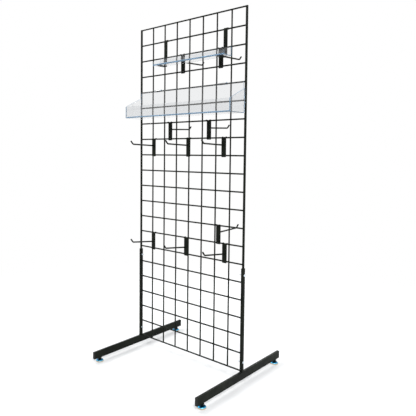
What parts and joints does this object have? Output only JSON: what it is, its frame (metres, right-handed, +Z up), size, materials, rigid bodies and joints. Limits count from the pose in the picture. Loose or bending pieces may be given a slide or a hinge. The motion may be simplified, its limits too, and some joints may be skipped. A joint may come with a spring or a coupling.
{
  "type": "wire grid display stand",
  "caption": "Free-standing wire grid display panel held in T-shaped legs on levelling feet, with hang-on prong hooks on both sides, a clear bin and a clear ledge.",
  "frame": {"origin": "on the floor under the middle of the panel", "axes": "+Z up, -Y towards the front, +X to the right as seen from the front"},
  "size_m": [0.6456, 0.6176, 1.582],
  "materials": {
    "black_powder_coat": "semi-gloss black powder coat on steel",
    "black_cap_plastic": "satin black polyethylene",
    "bright_chrome": "bright chrome plate",
    "zinc_plate": "bright zinc plate",
    "clear_acrylic": "clear polished acrylic sheet"
  },
  "bodies": {
    "stand": {"grid_panel": "black_powder_coat", "left_leg_base": "black_powder_coat", "left_leg_upright": "black_powder_coat", "left_front_end_cap": "black_cap_plastic", "left_back_end_cap": "black_cap_plastic", "left_lower_clamp_bolt": "zinc_plate", "left_lower_clamp_nut": "zinc_plate", "left_upper_clamp_bolt": "zinc_plate", "left_upper_clamp_nut": "zinc_plate", "left_front_foot_boss": "black_powder_coat", "left_back_foot_boss": "black_powder_coat", "right_leg_base": "black_powder_coat", "right_leg_upright": "black_powder_coat", "right_front_end_cap": "black_cap_plastic", "right_back_end_cap": "black_cap_plastic", "right_lower_clamp_bolt": "zinc_plate", "right_lower_clamp_nut": "zinc_plate", "right_upper_clamp_bolt": "zinc_plate", "right_upper_clamp_nut": "zinc_plate", "right_front_foot_boss": "black_powder_coat", "right_back_foot_boss": "black_powder_coat"},
    "left_front_foot_screw": {"left_front_foot_stem": "zinc_plate"},
    "left_front_foot_pad": {"left_front_foot_glide": "bright_chrome"},
    "left_back_foot_screw": {"left_back_foot_stem": "zinc_plate"},
    "left_back_foot_pad": {"left_back_foot_glide": "bright_chrome"},
    "right_front_foot_screw": {"right_front_foot_stem": "zinc_plate"},
    "right_front_foot_pad": {"right_front_foot_glide": "bright_chrome"},
    "right_back_foot_screw": {"right_back_foot_stem": "zinc_plate"},
    "right_back_foot_pad": {"right_back_foot_glide": "bright_chrome"},
    "front_hook_upper_left": {"front_hook_plate_upper_left": "black_powder_coat", "front_hook_prong_upper_left": "black_powder_coat"},
    "front_hook_upper_middle": {"front_hook_plate_upper_middle": "black_powder_coat", "front_hook_prong_upper_middle": "black_powder_coat"},
    "front_hook_upper_right": {"front_hook_plate_upper_right": "black_powder_coat", "front_hook_prong_upper_right": "black_powder_coat"},
    "front_hook_lower_left": {"front_hook_plate_lower_left": "black_powder_coat", "front_hook_prong_lower_left": "black_powder_coat"},
    "front_hook_lower_middle": {"front_hook_plate_lower_middle": "black_powder_coat", "front_hook_prong_lower_middle": "black_powder_coat"},
    "front_hook_lower_right": {"front_hook_plate_lower_right": "black_powder_coat", "front_hook_prong_lower_right": "black_powder_coat"},
    "back_hook_top_left": {"back_hook_plate_top_left": "black_powder_coat", "back_hook_prong_top_left": "black_powder_coat"},
    "back_hook_top_right": {"back_hook_plate_top_right": "black_powder_coat", "back_hook_prong_top_right": "black_powder_coat"},
    "back_hook_middle_left": {"back_hook_plate_middle_left": "black_powder_coat", "back_hook_prong_middle_left": "black_powder_coat"},
    "back_hook_middle_right": {"back_hook_plate_middle_right": "black_powder_coat", "back_hook_prong_middle_right": "black_powder_coat"},
    "back_hook_low_right": {"back_hook_plate_low_right": "black_powder_coat", "back_hook_prong_low_right": "black_powder_coat"},
    "bin": {"bin_sheet": "clear_acrylic", "bin_end_left": "clear_acrylic", "bin_end_right": "clear_acrylic"},
    "ledge": {"ledge_shelf": "clear_acrylic", "ledge_bracket_left": "black_powder_coat", "ledge_bracket_right": "black_powder_coat"}
  },
  "joints": [
    {"name": "left_front_foot_level", "type": "slide", "parent": "stand", "child": "left_front_foot_screw", "axis": [0, 0, -1], "range_m": [0, 0.012]},
    {"name": "left_front_foot_swivel", "type": "hinge", "parent": "left_front_foot_screw", "child": "left_front_foot_pad", "pos_m": [-0.3048, -0.272, 0], "axis": [0, 0, 1], "continuous": true},
    {"name": "left_back_foot_level", "type": "slide", "parent": "stand", "child": "left_back_foot_screw", "axis": [0, 0, -1], "range_m": [0, 0.012]},
    {"name": "left_back_foot_swivel", "type": "hinge", "parent": "left_back_foot_screw", "child": "left_back_foot_pad", "pos_m": [-0.3048, 0.272, 0], "axis": [0, 0, 1], "continuous": true},
    {"name": "right_front_foot_level", "type": "slide", "parent": "stand", "child": "right_front_foot_screw", "axis": [0, 0, -1], "range_m": [0, 0.012]},
    {"name": "right_front_foot_swivel", "type": "hinge", "parent": "right_front_foot_screw", "child": "right_front_foot_pad", "pos_m": [0.3048, -0.272, 0], "axis": [0, 0, 1], "continuous": true},
    {"name": "right_back_foot_level", "type": "slide", "parent": "stand", "child": "right_back_foot_screw", "axis": [0, 0, -1], "range_m": [0, 0.012]},
    {"name": "right_back_foot_swivel", "type": "hinge", "parent": "right_back_foot_screw", "child": "right_back_foot_pad", "pos_m": [0.3048, 0.272, 0], "axis": [0, 0, 1], "continuous": true},
    {"name": "front_hook_upper_left_tilt", "type": "hinge", "parent": "stand", "child": "front_hook_upper_left", "pos_m": [-0.2131, -0.0016, 1.0456], "axis": [-1, 0, 0], "range_deg": [0, 35]},
    {"name": "front_hook_upper_middle_tilt", "type": "hinge", "parent": "stand", "child": "front_hook_upper_middle", "pos_m": [0.0042, -0.0016, 1.0456], "axis": [-1, 0, 0], "range_deg": [0, 35]},
    {"name": "front_hook_upper_right_tilt", "type": "hinge", "parent": "stand", "child": "front_hook_upper_right", "pos_m": [0.2015, -0.0016, 1.0456], "axis": [-1, 0, 0], "range_deg": [0, 35]},
    {"name": "front_hook_lower_left_tilt", "type": "hinge", "parent": "stand", "child": "front_hook_lower_left", "pos_m": [-0.2131, -0.0016, 0.5884], "axis": [-1, 0, 0], "range_deg": [0, 35]},
    {"name": "front_hook_lower_middle_tilt", "type": "hinge", "parent": "stand", "child": "front_hook_lower_middle", "pos_m": [-0.004, -0.0016, 0.5884], "axis": [-1, 0, 0], "range_deg": [0, 35]},
    {"name": "front_hook_lower_right_tilt", "type": "hinge", "parent": "stand", "child": "front_hook_lower_right", "pos_m": [0.212, -0.0016, 0.5884], "axis": [-1, 0, 0], "range_deg": [0, 35]},
    {"name": "back_hook_top_left_tilt", "type": "hinge", "parent": "stand", "child": "back_hook_top_left", "pos_m": [-0.0381, -0.0016, 1.4266], "axis": [1, 0, 0], "range_deg": [0, 35]},
    {"name": "back_hook_top_right_tilt", "type": "hinge", "parent": "stand", "child": "back_hook_top_right", "pos_m": [0.175, -0.0016, 1.4266], "axis": [1, 0, 0], "range_deg": [0, 35]},
    {"name": "back_hook_middle_left_tilt", "type": "hinge", "parent": "stand", "child": "back_hook_middle_left", "pos_m": [-0.1143, -0.0016, 1.1218], "axis": [1, 0, 0], "range_deg": [0, 35]},
    {"name": "back_hook_middle_right_tilt", "type": "hinge", "parent": "stand", "child": "back_hook_middle_right", "pos_m": [0.1143, -0.0016, 1.1218], "axis": [1, 0, 0], "range_deg": [0, 35]},
    {"name": "back_hook_low_right_tilt", "type": "hinge", "parent": "stand", "child": "back_hook_low_right", "pos_m": [0.172, -0.0016, 0.6646], "axis": [1, 0, 0], "range_deg": [0, 35]},
    {"name": "bin_tilt", "type": "hinge", "parent": "stand", "child": "bin", "pos_m": [0, -0.0016, 1.2742], "axis": [-1, 0, 0], "range_deg": [0, 20]},
    {"name": "ledge_tilt", "type": "hinge", "parent": "stand", "child": "ledge", "pos_m": [0, -0.0016, 1.5028], "axis": [-1, 0, 0], "range_deg": [0, 20]}
  ]
}
